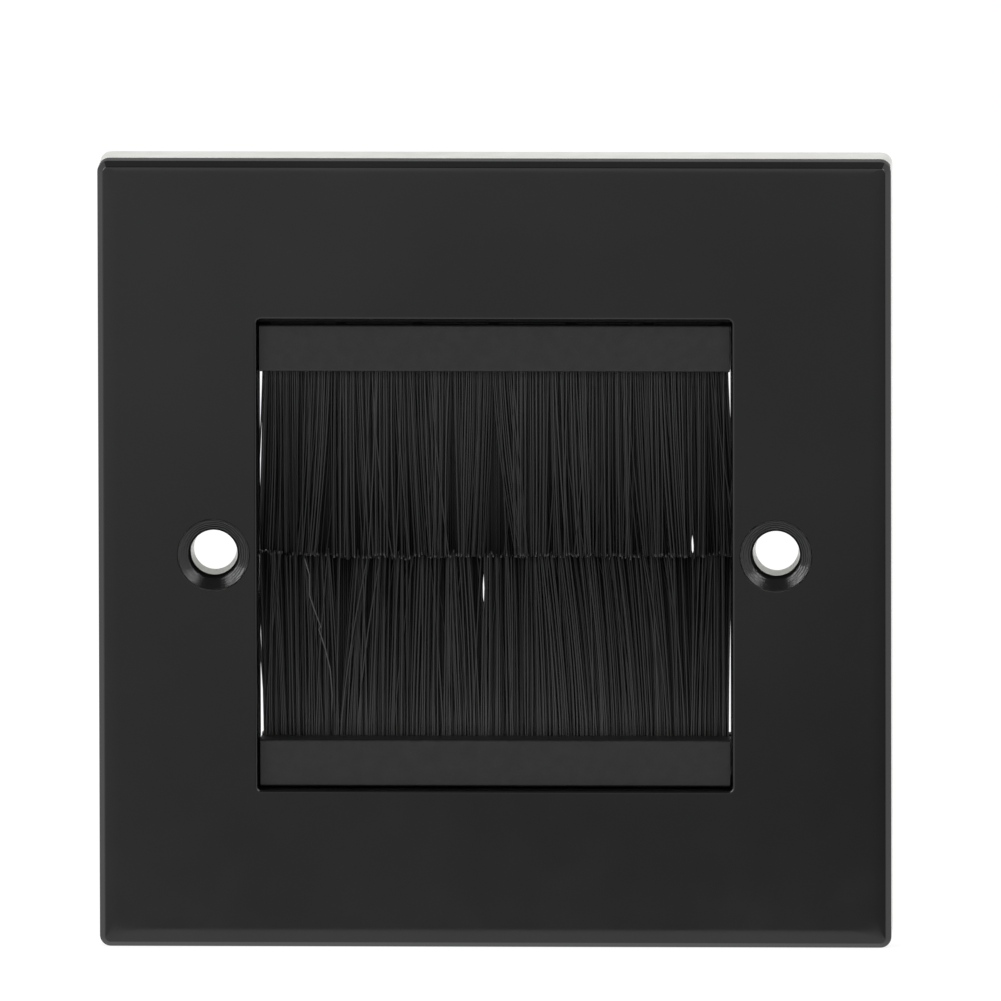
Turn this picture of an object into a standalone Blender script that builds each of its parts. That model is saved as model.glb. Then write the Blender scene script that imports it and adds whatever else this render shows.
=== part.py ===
"""Brush wall plate: a square cable-entry plate, upright as it is on a wall.

Sizes are written in millimetres times MM, so the scene is in metres. X runs to the right, Z runs up and Y
runs into the wall. The wall's surface is the plane y = 0, with the origin at the plate's middle, and the
front face looks along -Y. A depth is always measured from the front face towards the wall.

A black front moulding and a white rear frame clip together. Two equal strip brushes lie in the frame, one
turned over, and their bristles meet in the middle of the opening.
"""

import math
import random

import bmesh
import bpy

MM = 0.001

# Clearances
FIT_GAP = 0.3 * MM  # between mouldings that seat on each other
CRIMP_GAP = 0.15 * MM  # between the filaments and the metal round them
FUSE = 0.4 * MM  # how far a rib or boss runs into the wall that carries it
OVERCUT = 1.0 * MM  # how far a cutter runs past the face that it opens

# Outline that both mouldings share
PLATE_SIDE = 85.0 * MM
CORNER_RADIUS = 1.2 * MM
CORNER_LEAST = 0.2 * MM
CORNER_STEPS = 5

# Front moulding
FRONT_DEPTH = 3.2 * MM
FRONT_WALL = 2.0 * MM
FRONT_SKIRT = 1.8 * MM
FRONT_DRAFT = 0.1 * MM
BEVEL_WIDTH = 0.5 * MM  # flat of the steep bevel round the face
BEVEL_SLOPE = 52  # degrees from the face
BEVEL_OUTER_ROUND = 0.15 * MM
BEVEL_INNER_ROUND = 0.2 * MM
BEVEL_STEPS = 2
SHOULDER_WIDTH = 1.5 * MM  # soft fall of the face towards its edge
SHOULDER_DROP = 0.04 * MM
FRONT_RIB = 0.9 * MM
FRONT_RIB_HEIGHT = 0.6 * MM
FRONT_RIB_SPACING = 29.0 * MM

# Opening in the front moulding
APERTURE_MARGIN = 0.8 * MM  # from the opening to each countersink
APERTURE_DRAFT = 0.2 * MM  # the opening narrows by this much a side towards the wall
APERTURE_CORNER = 0.5 * MM
APERTURE_ROUND = 0.25 * MM
APERTURE_COLLAR = 1.4 * MM

# Screw holes, a standard distance apart
SCREW_SPACING = 60.3 * MM
COUNTERSINK_DIAMETER = 7.7 * MM
COUNTERSINK_ANGLE = 100
COUNTERSINK_LIP = 0.3 * MM
COUNTERSINK_ROUND = 0.12 * MM
SCREW_HOLE_DIAMETER = 5.1 * MM
SCREW_HOLE_ROUND = 0.3 * MM
SCREW_BOSS_DIAMETER = 10.4 * MM
REAR_HOLE_DIAMETER = 4.6 * MM
ROUND_STEPS = 40

# Rear frame
FRAME_DEPTH = 5.6 * MM
FRAME_WEB = 2.3 * MM
FRAME_SKIRT = 1.8 * MM
FRAME_CHAMFER = 0.3 * MM
RIM_WIDTH = 1.0 * MM  # raised rim that centres the front moulding
RIM_HEIGHT = 0.6 * MM
FRAME_RIB = 1.1 * MM
FRAME_RIB_SETBACK = 1.0 * MM
FRAME_RIB_NEAR = 10.0 * MM
FRAME_RIB_FAR = 21.0 * MM
COLLAR_WALL = 1.2 * MM
COLLAR_SETBACK = 0.4 * MM

# Snap hooks of the front moulding
HOOK_BESIDE = 5.2 * MM  # from the seat's collar, sideways
HOOK_BEYOND = 3.1 * MM  # from the seat's collar, up or down
HOOK_WIDTH = 4.0 * MM
HOOK_LEG = 1.4 * MM
HOOK_BARB = 0.7 * MM
HOOK_LAND = 0.4 * MM
HOOK_NOSE = 1.3 * MM

# Catches and stops of the rear frame, which hold the brushes
CATCH_X = 15.0 * MM
CATCH_WIDTH = 7.0 * MM
CATCH_REACH = 0.9 * MM
CATCH_SLOT = 0.9 * MM
CATCH_ROOT = 0.9 * MM  # how deep the slots beside a catch cut into the web
STOP_HEIGHT = 2.0 * MM

# Brush holder
HOLDER_MARGIN = 0.5 * MM  # from the holder's outer edge to the opening
HOLDER_PLAY = 0.1 * MM  # at each end, where the opening is narrowest
HOLDER_HEIGHT = 5.1 * MM
HOLDER_SETBACK = 1.0 * MM  # how far the holder lies behind the front face
HOLDER_CLEARANCE = 1.6 * MM  # behind the holder, where the catches are
HOLDER_BACK = 1.0 * MM  # wall behind the groove
HOLDER_ROUND = 0.3 * MM
HOLDER_LIP = 0.7 * MM
FLANGE_HEIGHT = 1.2 * MM
EAR_LENGTH = 0.6 * MM
EAR_HEIGHT = 1.4 * MM
CORE_POCKETS = 6
CORE_WALL = 0.75 * MM
CORE_RIB = 1.1 * MM
CORE_FLOOR = 1.3 * MM
BRUSH_SAG = 0.2 * MM  # both brushes lie this much low, in the play of the frame

# Strip brush
PACK_THICKNESS = 1.3 * MM
PACK_INSET = 0.25 * MM  # from each end of the holder
FOLD_HEIGHT = 2.7 * MM  # from the holder's inner edge to the core wire
FOLD_THICKNESS = 0.4 * MM
CORE_WIRE_DIAMETER = 0.7 * MM
CORE_WIRE_INSET = 0.2 * MM
SHEET = 0.3 * MM
CRIMP_HEIGHT = 0.5 * MM
CRIMP_SLOPE = 0.7 * MM
BEND_STEPS = 8

# Bristles
BRISTLE_COLUMNS = 88
BRISTLE_ROWS = 3
ROW_STAGGER = 1.0  # share of a column over which the rows spread sideways, so that each fills another's gaps
BED_HEIGHT = 0.4 * MM  # where the filaments part, above the holder's inner edge
BRISTLE_NECK = 3.2 * MM
NECK_SIZE = 0.38 * MM
TIP_SIZE = 0.3 * MM
TIP_SPREAD = 0.85
TIP_UNEVEN = 0.22 * MM
UPPER_OVERLAP = 0.45 * MM  # how far the tips pass the middle
LOWER_OVERLAP = 0.1 * MM
TIP_DRIFT = 0.65 * MM  # upper tips lean forwards and lower tips back, so they pass each other
CLUMP_PITCHES = (3.7 * MM, 6.1 * MM, 14.5 * MM)  # tips gather in clumps of these widths
CLUMP_PULLS = (0.08 * MM, 0.15 * MM, 0.3 * MM)
CLUMP_SHIFT = 0.25  # radians from one row to the next

# Places that follow from the sizes
PLATE_DEPTH = FRONT_DEPTH + FIT_GAP + FRAME_DEPTH
PLATE_HALF = PLATE_SIDE / 2
APERTURE_HALF = (SCREW_SPACING - COUNTERSINK_DIAMETER) / 2 - APERTURE_MARGIN
FRAME_FRONT = FRONT_DEPTH + FIT_GAP
WEB_REAR = FRAME_FRONT + FRAME_WEB
COLLAR_REAR = PLATE_DEPTH - COLLAR_SETBACK
MODULE_HALF = APERTURE_HALF - HOLDER_MARGIN
HOLDER_INNER = MODULE_HALF - HOLDER_HEIGHT
HOLDER_LENGTH = 2 * (APERTURE_HALF - APERTURE_DRAFT - HOLDER_PLAY)
HOLDER_REAR = PLATE_DEPTH - HOLDER_CLEARANCE
FLANGE_TOP = MODULE_HALF + FLANGE_HEIGHT
SEAT_HALF_X = HOLDER_LENGTH / 2 + EAR_LENGTH + FIT_GAP
SEAT_HALF_Z = FLANGE_TOP + FIT_GAP + BRUSH_SAG
HOOK_X = SEAT_HALF_X + COLLAR_WALL + HOOK_BESIDE
HOOK_Z = SEAT_HALF_Z + COLLAR_WALL + HOOK_BEYOND
PACK_WIDTH = HOLDER_LENGTH - 2 * PACK_INSET
CORE_WIRE_LENGTH = HOLDER_LENGTH - 2 * CORE_WIRE_INSET
WIRE_HEIGHT = HOLDER_INNER + FOLD_HEIGHT
TUNNEL_RADIUS = CORE_WIRE_DIAMETER / 2 + CRIMP_GAP
FOLD_RADIUS = TUNNEL_RADIUS + FOLD_THICKNESS
CHANNEL_HALF = FOLD_RADIUS + CRIMP_GAP
CHANNEL_MOUTH = HOLDER_INNER + HOLDER_LIP + CRIMP_GAP
GROOVE_HALF = CHANNEL_HALF + SHEET + CRIMP_GAP
GROOVE_TOP = WIRE_HEIGHT + GROOVE_HALF
BRUSH_DEPTH = HOLDER_REAR - HOLDER_BACK - GROOVE_HALF  # middle of the bristle pack


def rounded_rectangle(half_x, half_z, radius):
    """Points round a rectangle with round corners, as (x, z), anticlockwise from the front."""
    points = []
    for quarter, (side_x, side_z) in enumerate(((1, 1), (-1, 1), (-1, -1), (1, -1))):
        for step in range(CORNER_STEPS + 1):
            angle = (quarter + step / CORNER_STEPS) * math.pi / 2
            x = side_x * (half_x - radius) + radius * math.cos(angle)
            z = side_z * (half_z - radius) + radius * math.sin(angle)
            points.append((x, z))
    return points


def level(outline, depth):
    """An (x, z) outline set at a depth behind the front face."""
    return [(x, depth - PLATE_DEPTH, z) for x, z in outline]


def plate_ring(inset, depth):
    """The plate's outline, moved in from its sides, at a depth."""
    half = PLATE_HALF - inset
    return level(rounded_rectangle(half, half, max(CORNER_RADIUS - inset, CORNER_LEAST)), depth)


def circle(centre_x, centre_z, radius, depth):
    """A ring of points round an axis that runs into the wall."""
    turn = 2 * math.pi / ROUND_STEPS
    outline = [
        (centre_x + radius * math.cos(turn * step), centre_z + radius * math.sin(turn * step))
        for step in range(ROUND_STEPS)
    ]
    return level(outline, depth)


def arc(centre_a, centre_b, radius, start, end, steps):
    """Points on an arc in any plane, from one angle to another, in degrees."""
    points = []
    for step in range(steps + 1):
        angle = math.radians(start + (end - start) * step / steps)
        points.append((centre_a + radius * math.cos(angle), centre_b + radius * math.sin(angle)))
    return points


def loft(name, rings):
    """A closed mesh through rings of equal length, with its first and last rings capped."""
    shape = bmesh.new()
    loops = [[shape.verts.new(point) for point in ring] for ring in rings]
    for near, far in zip(loops, loops[1:]):
        for first in range(len(near)):
            second = (first + 1) % len(near)
            shape.faces.new((near[first], near[second], far[second], far[first]))
    shape.faces.new(loops[0])
    shape.faces.new(loops[-1])
    return finished_mesh(name, shape)


def finished_mesh(name, shape):
    bmesh.ops.recalc_face_normals(shape, faces=shape.faces)
    mesh = bpy.data.meshes.new(name)
    shape.to_mesh(mesh)
    shape.free()
    return mesh


def block(name, low, high):
    """A box between two corners, each as (x, y, z)."""
    outline = ((low[0], low[2]), (high[0], low[2]), (high[0], high[2]), (low[0], high[2]))
    return loft(name, [[(x, y, z) for x, z in outline] for y in (low[1], high[1])])


def deep_block(name, x_range, depth_range, z_range):
    """A box whose second range is a depth behind the front face."""
    (x_low, x_high), (z_low, z_high) = sorted(x_range), sorted(z_range)
    near, far = depth_range
    return block(name, (x_low, near - PLATE_DEPTH, z_low), (x_high, far - PLATE_DEPTH, z_high))


def bar(name, section, length):
    """A (y, z) section drawn out along X, with its middle at x = 0."""
    return loft(name, [[(x, y, z) for y, z in section] for x in (-length / 2, length / 2)])


def add_part(name, mesh, material):
    part = bpy.data.objects.new(name, mesh)
    bpy.context.scene.collection.objects.link(part)
    mesh.materials.append(material)
    return part


def combine(part, operation, mesh):
    """Joins a mesh to a part, or cuts it away, with a Boolean that stays on the part."""
    tool = bpy.data.objects.new(f"{part.name}_{mesh.name}", mesh)
    bpy.context.scene.collection.objects.link(tool)
    tool.hide_render = True
    tool.display_type = "WIRE"
    tool.parent = part
    change = part.modifiers.new(mesh.name, "BOOLEAN")
    change.operation = operation
    change.object = tool
    change.solver = "EXACT"


def shade(part, angle=35):
    """Smooth shading on round stretches, with the corners left sharp."""
    part.data.shade_smooth()
    part.data.set_sharp_from_angle(angle=math.radians(angle))


def plastic(name, colour, roughness):
    material = bpy.data.materials.new(name)
    material.use_nodes = True
    surface = material.node_tree.nodes["Principled BSDF"]
    surface.inputs["Base Color"].default_value = (*colour, 1)
    surface.inputs["Roughness"].default_value = roughness
    return material


def metal(name, colour, roughness):
    material = plastic(name, colour, roughness)
    material.node_tree.nodes["Principled BSDF"].inputs["Metallic"].default_value = 1
    return material


def edge_line():
    """Front edge from the side to the face, as (inset, depth): a steep bevel between two small rounds."""
    lean = 270 - BEVEL_SLOPE
    sideways = math.cos(math.radians(lean))
    inner_x = BEVEL_OUTER_ROUND * (1 + sideways) + BEVEL_WIDTH - BEVEL_INNER_ROUND * sideways
    inner_depth = SHOULDER_DROP + BEVEL_INNER_ROUND
    rise = BEVEL_WIDTH * math.tan(math.radians(BEVEL_SLOPE))
    between = (BEVEL_INNER_ROUND - BEVEL_OUTER_ROUND) * math.sin(math.radians(lean))
    return [
        *arc(BEVEL_OUTER_ROUND, inner_depth + rise + between, BEVEL_OUTER_ROUND, 180, lean, BEVEL_STEPS),
        *arc(inner_x, inner_depth, BEVEL_INNER_ROUND, lean, 270, BEVEL_STEPS),
    ]


def front_shell():
    """Pocket floor, skirt, bevelled edge and soft shoulder of the front moulding, as one profile."""
    rings = [
        plate_ring(FRONT_SKIRT + FRONT_DRAFT, FRONT_WALL),
        plate_ring(FRONT_SKIRT, FRONT_DEPTH),
        plate_ring(0, FRONT_DEPTH),
    ]
    edge = edge_line()
    rings += [plate_ring(inset, depth) for inset, depth in edge]
    rings.append(plate_ring(edge[-1][0] + SHOULDER_WIDTH, 0))
    return loft("front_plate", rings)


def aperture_cutter():
    """The square opening, narrowing towards the wall, with a small round where it meets the face."""
    edge = arc(APERTURE_ROUND, APERTURE_ROUND, APERTURE_ROUND, 270, 180, 2)
    rear = [(-APERTURE_DRAFT, FRONT_DEPTH), (-APERTURE_DRAFT, FRONT_DEPTH + OVERCUT)]
    stations = [(APERTURE_ROUND, -OVERCUT), *edge, *rear]
    rings = []
    for outset, depth in stations:
        half = APERTURE_HALF + outset
        rings.append(level(rounded_rectangle(half, half, APERTURE_CORNER + outset), depth))
    return loft("aperture", rings)


def countersink_cutter(name, side):
    """Lip, cone and neck of a countersunk hole, with small rounds at its mouth and its neck."""
    mouth = COUNTERSINK_DIAMETER / 2
    neck = SCREW_HOLE_DIAMETER / 2
    cone_end = COUNTERSINK_LIP + (mouth - neck) / math.tan(math.radians(COUNTERSINK_ANGLE / 2))
    stations = [
        (mouth + COUNTERSINK_ROUND, -OVERCUT),
        (mouth + COUNTERSINK_ROUND, 0),
        (mouth, COUNTERSINK_ROUND),
        (mouth, COUNTERSINK_LIP),
        (neck + SCREW_HOLE_ROUND, cone_end - SCREW_HOLE_ROUND),
        (neck + SCREW_HOLE_ROUND / 4, cone_end + SCREW_HOLE_ROUND / 4),
        (neck, cone_end + SCREW_HOLE_ROUND),
        (neck, FRONT_DEPTH + OVERCUT),
    ]
    return loft(name, [circle(side * SCREW_SPACING / 2, 0, radius, depth) for radius, depth in stations])


def hook(name, side_x, side_z):
    """A leg with a barb that grips behind the rear frame's web."""
    grip = WEB_REAR + FIT_GAP
    nose = grip + HOOK_LAND + HOOK_NOSE
    profile = (
        (0, FRONT_WALL - FUSE),
        (HOOK_LEG, FRONT_WALL - FUSE),
        (HOOK_LEG, grip),
        (HOOK_LEG + HOOK_BARB, grip),
        (HOOK_LEG + HOOK_BARB, grip + HOOK_LAND),
        (HOOK_LEG - HOOK_BARB / 2, nose),
        (0, nose),
    )
    rings = []
    for end in (-HOOK_WIDTH / 2, HOOK_WIDTH / 2):
        z = side_z * HOOK_Z + end
        rings.append([(side_x * (HOOK_X + x), depth - PLATE_DEPTH, z) for x, depth in profile])
    return loft(name, rings)


def front_ribs():
    """Stiffening ribs behind the face, from the opening's collar to the skirt."""
    start = APERTURE_HALF + APERTURE_COLLAR - FUSE
    end = PLATE_HALF - FRONT_SKIRT + FUSE
    depth = (FRONT_WALL - FUSE, FRONT_WALL + FRONT_RIB_HEIGHT)
    number = 0
    for side in (-1, 1):
        for place in (-FRONT_RIB_SPACING / 2, FRONT_RIB_SPACING / 2):
            across = (place - FRONT_RIB / 2, place + FRONT_RIB / 2)
            out = (side * start, side * end)
            yield deep_block(f"upright_rib_{number}", across, depth, out)
            yield deep_block(f"level_rib_{number}", out, depth, across)
            number += 1


def make_front_plate(material):
    plate = add_part("front_plate", front_shell(), material)
    depth = (FRONT_WALL - FUSE, FRONT_DEPTH)
    half = APERTURE_HALF + APERTURE_COLLAR
    collar = rounded_rectangle(half, half, APERTURE_CORNER + APERTURE_COLLAR)
    combine(plate, "UNION", loft("collar", [level(collar, end) for end in depth]))
    for name, side in (("left", -1), ("right", 1)):
        rings = [circle(side * SCREW_SPACING / 2, 0, SCREW_BOSS_DIAMETER / 2, end) for end in depth]
        combine(plate, "UNION", loft(f"{name}_boss", rings))
    for rib in front_ribs():
        combine(plate, "UNION", rib)
    combine(plate, "DIFFERENCE", aperture_cutter())
    for name, side in (("left", -1), ("right", 1)):
        combine(plate, "DIFFERENCE", countersink_cutter(f"{name}_countersink", side))
    for side_x in (-1, 1):
        for side_z in (-1, 1):
            combine(plate, "UNION", hook(f"hook_{side_x}_{side_z}", side_x, side_z))
    shade(plate)


def frame_shell():
    """Rear pocket, skirt, front web and centring rim of the rear frame, as one profile."""
    rim_outer = FRONT_SKIRT + FRONT_DRAFT + FIT_GAP
    rim_front = FRAME_FRONT - RIM_HEIGHT
    stations = (
        (FRAME_SKIRT, WEB_REAR),
        (FRAME_SKIRT, PLATE_DEPTH),
        (FRAME_CHAMFER, PLATE_DEPTH),
        (0, PLATE_DEPTH - FRAME_CHAMFER),
        (0, FRAME_FRONT),
        (rim_outer, FRAME_FRONT),
        (rim_outer, rim_front),
        (rim_outer + RIM_WIDTH, rim_front),
        (rim_outer + RIM_WIDTH, FRAME_FRONT),
    )
    return loft("back_frame", [plate_ring(inset, depth) for inset, depth in stations])


def seat_ring(outset, depth):
    """The brushes' seat, moved out by a wall, at a depth."""
    return level(rounded_rectangle(SEAT_HALF_X + outset, SEAT_HALF_Z + outset, CORNER_RADIUS), depth)


def frame_ribs():
    """Ribs behind the web, from the seat's collar to the skirt, clear of the screw holes and hooks."""
    depth = (WEB_REAR - FUSE, PLATE_DEPTH - FRAME_RIB_SETBACK)
    end = PLATE_HALF - FRAME_SKIRT + FUSE
    number = 0
    for side in (-1, 1):
        for place in (-FRAME_RIB_FAR, -FRAME_RIB_NEAR, FRAME_RIB_NEAR, FRAME_RIB_FAR):
            across = (place - FRAME_RIB / 2, place + FRAME_RIB / 2)
            upright = (side * (SEAT_HALF_Z + COLLAR_WALL - FUSE), side * end)
            sideways = (side * (SEAT_HALF_X + COLLAR_WALL - FUSE), side * end)
            yield deep_block(f"upright_rib_{number}", across, depth, upright)
            yield deep_block(f"level_rib_{number}", sideways, depth, across)
            number += 1


def catch(name, x, side_z):
    """A wedge on the seat's wall that snaps behind a holder's flange."""
    land = HOLDER_REAR + FIT_GAP
    inner = SEAT_HALF_Z - CATCH_REACH
    profile = (
        (SEAT_HALF_Z + FUSE, land),
        (inner, land),
        (inner, land + HOOK_LAND),
        (SEAT_HALF_Z + FUSE, COLLAR_REAR - FUSE / 2),
    )
    rings = []
    for end in (-CATCH_WIDTH / 2, CATCH_WIDTH / 2):
        rings.append([(x + end, depth - PLATE_DEPTH, side_z * z) for z, depth in profile])
    return loft(name, rings)


def make_back_frame(material):
    frame = add_part("back_frame", frame_shell(), material)
    wall = [seat_ring(COLLAR_WALL, depth) for depth in (WEB_REAR - FUSE, COLLAR_REAR)]
    combine(frame, "UNION", loft("collar", wall))
    for rib in frame_ribs():
        combine(frame, "UNION", rib)
    through = (FRAME_FRONT - RIM_HEIGHT - OVERCUT, PLATE_DEPTH + OVERCUT)
    combine(frame, "DIFFERENCE", loft("seat", [seat_ring(0, depth) for depth in through]))
    hole = (
        (SCREW_HOLE_DIAMETER / 2, FRAME_FRONT - OVERCUT),
        (SCREW_HOLE_DIAMETER / 2, FRAME_FRONT),
        (REAR_HOLE_DIAMETER / 2, WEB_REAR),
        (REAR_HOLE_DIAMETER / 2, WEB_REAR + OVERCUT),
    )
    for name, side in (("left", -1), ("right", 1)):
        rings = [circle(side * SCREW_SPACING / 2, 0, radius, depth) for radius, depth in hole]
        combine(frame, "DIFFERENCE", loft(f"{name}_hole", rings))
    web = (FRAME_FRONT - OVERCUT, WEB_REAR + OVERCUT)
    slot_low = HOOK_X - FIT_GAP
    slot_high = HOOK_X + HOOK_LEG + HOOK_BARB + FIT_GAP
    slot_half = HOOK_WIDTH / 2 + FIT_GAP
    for side_x in (-1, 1):
        for side_z in (-1, 1):
            tag = f"{side_x}_{side_z}"
            tall = (side_z * HOOK_Z - slot_half, side_z * HOOK_Z + slot_half)
            slot = deep_block(f"slot_{tag}", (side_x * slot_low, side_x * slot_high), web, tall)
            combine(frame, "DIFFERENCE", slot)
            add_catch(frame, tag, side_x * CATCH_X, side_z)
            add_stop(frame, tag, side_x, side_z)
    shade(frame)


def add_catch(frame, tag, x, side_z):
    """Frees a stretch of the seat's wall with two slots and puts the catch on it."""
    depth = (WEB_REAR - CATCH_ROOT, COLLAR_REAR + OVERCUT)
    wall = (side_z * (SEAT_HALF_Z - OVERCUT), side_z * (SEAT_HALF_Z + COLLAR_WALL + CATCH_SLOT))
    for end, side in (("low", -1), ("high", 1)):
        edge = x + side * CATCH_WIDTH / 2
        width = (edge, edge + side * CATCH_SLOT)
        combine(frame, "DIFFERENCE", deep_block(f"relief_{end}_{tag}", width, depth, wall))
    combine(frame, "UNION", catch(f"catch_{tag}", x, side_z))


def add_stop(frame, tag, side_x, side_z):
    """A pad on the seat's side wall, which keeps a holder's ear from moving to the middle."""
    reach = (side_x * (SEAT_HALF_X - EAR_LENGTH + FIT_GAP / 3), side_x * (SEAT_HALF_X + FUSE))
    top = FLANGE_TOP - FIT_GAP - EAR_HEIGHT - FIT_GAP - BRUSH_SAG
    depth = (FRAME_FRONT + FIT_GAP, HOLDER_REAR)
    height = (side_z * (top - STOP_HEIGHT), side_z * top)
    combine(frame, "UNION", deep_block(f"stop_{tag}", reach, depth, height))


def holder_section():
    """Section of a holder, as (y, z) from the middle of its pack: nose, flange and T-shaped groove."""
    front = HOLDER_SETBACK - BRUSH_DEPTH
    rear = HOLDER_REAR - BRUSH_DEPTH
    step = FRAME_FRONT - BRUSH_DEPTH
    mouth = PACK_THICKNESS / 2 + CRIMP_GAP / 2
    lip = HOLDER_INNER + HOLDER_LIP
    nose = front + HOLDER_ROUND
    return [
        (-mouth, HOLDER_INNER),
        *arc(nose, HOLDER_INNER + HOLDER_ROUND, HOLDER_ROUND, 270, 180, 3),
        *arc(nose, MODULE_HALF - HOLDER_ROUND, HOLDER_ROUND, 180, 90, 3),
        (step, MODULE_HALF),
        (step, FLANGE_TOP),
        (rear, FLANGE_TOP),
        (rear, HOLDER_INNER),
        (mouth, HOLDER_INNER),
        (mouth, lip),
        (GROOVE_HALF, lip),
        (GROOVE_HALF, GROOVE_TOP),
        (-GROOVE_HALF, GROOVE_TOP),
        (-GROOVE_HALF, lip),
        (-mouth, lip),
    ]


def make_holder(name, material):
    """Moulded bar with a groove for the strip brush, cored out behind its nose, with an ear at each end."""
    holder = add_part(name, bar(name, holder_section(), HOLDER_LENGTH), material)
    half = HOLDER_LENGTH / 2
    ear_low = (FRAME_FRONT + FIT_GAP - BRUSH_DEPTH, FLANGE_TOP - FIT_GAP - EAR_HEIGHT)
    ear_high = (HOLDER_REAR - FIT_GAP - BRUSH_DEPTH, FLANGE_TOP - FIT_GAP)
    for end, side in (("left", -1), ("right", 1)):
        low_x, high_x = sorted((side * (half - FUSE), side * (half + EAR_LENGTH)))
        ear = block(f"{end}_ear", (low_x, *ear_low), (high_x, *ear_high))
        combine(holder, "UNION", ear)
    pocket_front = HOLDER_SETBACK + CORE_WALL - BRUSH_DEPTH
    pocket_rear = -GROOVE_HALF - CORE_WALL
    length = (HOLDER_LENGTH - CORE_RIB * (CORE_POCKETS + 1)) / CORE_POCKETS
    for number in range(CORE_POCKETS):
        start = -half + CORE_RIB + number * (length + CORE_RIB)
        low = (start, pocket_front, HOLDER_INNER + CORE_FLOOR)
        high = (start + length, pocket_rear, MODULE_HALF + OVERCUT)
        combine(holder, "DIFFERENCE", block(f"core_{number}", low, high))
    shade(holder)
    return holder


def channel_line(offset):
    """One face of the folded sheet, as (y, z) from its front lip over the crown to its rear lip."""
    lip = PACK_THICKNESS / 2 + CRIMP_GAP + offset
    side = CHANNEL_HALF + offset
    crimp = CHANNEL_MOUTH + CRIMP_HEIGHT
    crown = arc(0, WIRE_HEIGHT, side, 180, 0, BEND_STEPS)
    return [
        (-lip, CHANNEL_MOUTH),
        (-lip, crimp),
        (-side, crimp + CRIMP_SLOPE),
        *crown,
        (side, crimp + CRIMP_SLOPE),
        (lip, crimp),
        (lip, CHANNEL_MOUTH),
    ]


def make_channel(name, material):
    """Sheet metal folded into a U and crimped on the bristle pack."""
    section = channel_line(SHEET) + channel_line(0)[::-1]
    channel = add_part(name, bar(name, section, PACK_WIDTH), material)
    shade(channel)
    return channel


def make_core_wire(name, material):
    """Wire that the filaments are folded over."""
    section = arc(0, WIRE_HEIGHT, CORE_WIRE_DIAMETER / 2, 0, 330, 11)
    wire = add_part(name, bar(name, section, CORE_WIRE_LENGTH), material)
    shade(wire)
    return wire


def fold_line():
    """Outside of the folded pack, as (y, z) from its front leg over the wire to its rear leg."""
    leg = PACK_THICKNESS / 2
    neck = CHANNEL_MOUTH + CRIMP_HEIGHT + CRIMP_GAP
    return [
        (-leg, neck),
        (-FOLD_RADIUS, neck + CRIMP_SLOPE),
        *arc(0, WIRE_HEIGHT, FOLD_RADIUS, 180, 0, BEND_STEPS),
        (FOLD_RADIUS, neck + CRIMP_SLOPE),
        (leg, neck),
    ]


def sideways_lean(x, row):
    """How far a tip stands off its root: tips gather in clumps, and each row gathers a little elsewhere."""
    edge = 1 - (2 * x / PACK_WIDTH) ** 6
    lean = 0
    for pitch, pull in zip(CLUMP_PITCHES, CLUMP_PULLS):
        lean += pull * math.sin(2 * math.pi * x / pitch + CLUMP_SHIFT * row)
    return edge * lean


def square_round(shape, centre, size):
    """Four points of a filament's section, in the order of its cell's corners."""
    x, y, z = centre
    half = size / 2
    return [shape.verts.new((x + a * half, y + b * half, z)) for a, b in ((-1, -1), (1, -1), (1, 1), (-1, 1))]


def grow_bristle(shape, cell, sections):
    """Filament from a cell of the bed through its sections, capped at the last."""
    for far in sections:
        for first in range(4):
            second = (first + 1) % 4
            shape.faces.new((cell[first], cell[second], far[second], far[first]))
        cell = far
    shape.faces.new(cell)


def bristle_mesh(name, overlap, drift, seed):
    """A bed of folded filaments whose lower face is a grid, with one bristle drawn from each cell."""
    draw = random.Random(seed)
    bed = HOLDER_INNER + BED_HEIGHT
    step_x = PACK_WIDTH / BRISTLE_COLUMNS
    step_y = PACK_THICKNESS / BRISTLE_ROWS
    shape = bmesh.new()
    grid = []
    for column in range(BRISTLE_COLUMNS + 1):
        x = column * step_x - PACK_WIDTH / 2
        places = [row * step_y - PACK_THICKNESS / 2 for row in range(BRISTLE_ROWS + 1)]
        grid.append([shape.verts.new((x, y, bed)) for y in places])
    for column in range(BRISTLE_COLUMNS):
        for row in range(BRISTLE_ROWS):
            stagger = (row + 0.5) / BRISTLE_ROWS - 0.5
            x = (column + 0.5 + stagger * ROW_STAGGER) * step_x - PACK_WIDTH / 2
            y = (row + 0.5) * step_y - PACK_THICKNESS / 2
            tip_x = x + sideways_lean(x, row)
            tip_z = -overlap + draw.uniform(-TIP_UNEVEN, TIP_UNEVEN)
            neck = square_round(shape, (x, y, bed - BRISTLE_NECK), NECK_SIZE)
            tip = square_round(shape, (tip_x, y * TIP_SPREAD + drift, tip_z), TIP_SIZE)
            near, far = grid[column], grid[column + 1]
            grow_bristle(shape, [near[row], far[row], far[row + 1], near[row + 1]], (neck, tip))
    left = [shape.verts.new((-PACK_WIDTH / 2, y, z)) for y, z in fold_line()]
    right = [shape.verts.new((PACK_WIDTH / 2, y, z)) for y, z in fold_line()]
    for first in range(len(left) - 1):
        shape.faces.new((left[first], left[first + 1], right[first + 1], right[first]))
    shape.faces.new([column[0] for column in grid] + [right[0], left[0]])
    shape.faces.new([column[-1] for column in grid] + [right[-1], left[-1]])
    shape.faces.new(grid[0] + left[::-1])
    shape.faces.new(grid[-1] + right[::-1])
    return finished_mesh(name, shape)


def make_bristles(name, overlap, drift, seed, material):
    """Comb of filaments folded over the core wire, which runs through the fold."""
    bristles = add_part(name, bristle_mesh(name, overlap, drift, seed), material)
    section = arc(0, WIRE_HEIGHT, TUNNEL_RADIUS, 0, 330, 11)
    combine(bristles, "DIFFERENCE", bar("wire_tunnel", section, PACK_WIDTH + 2 * OVERCUT))
    return bristles


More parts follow.
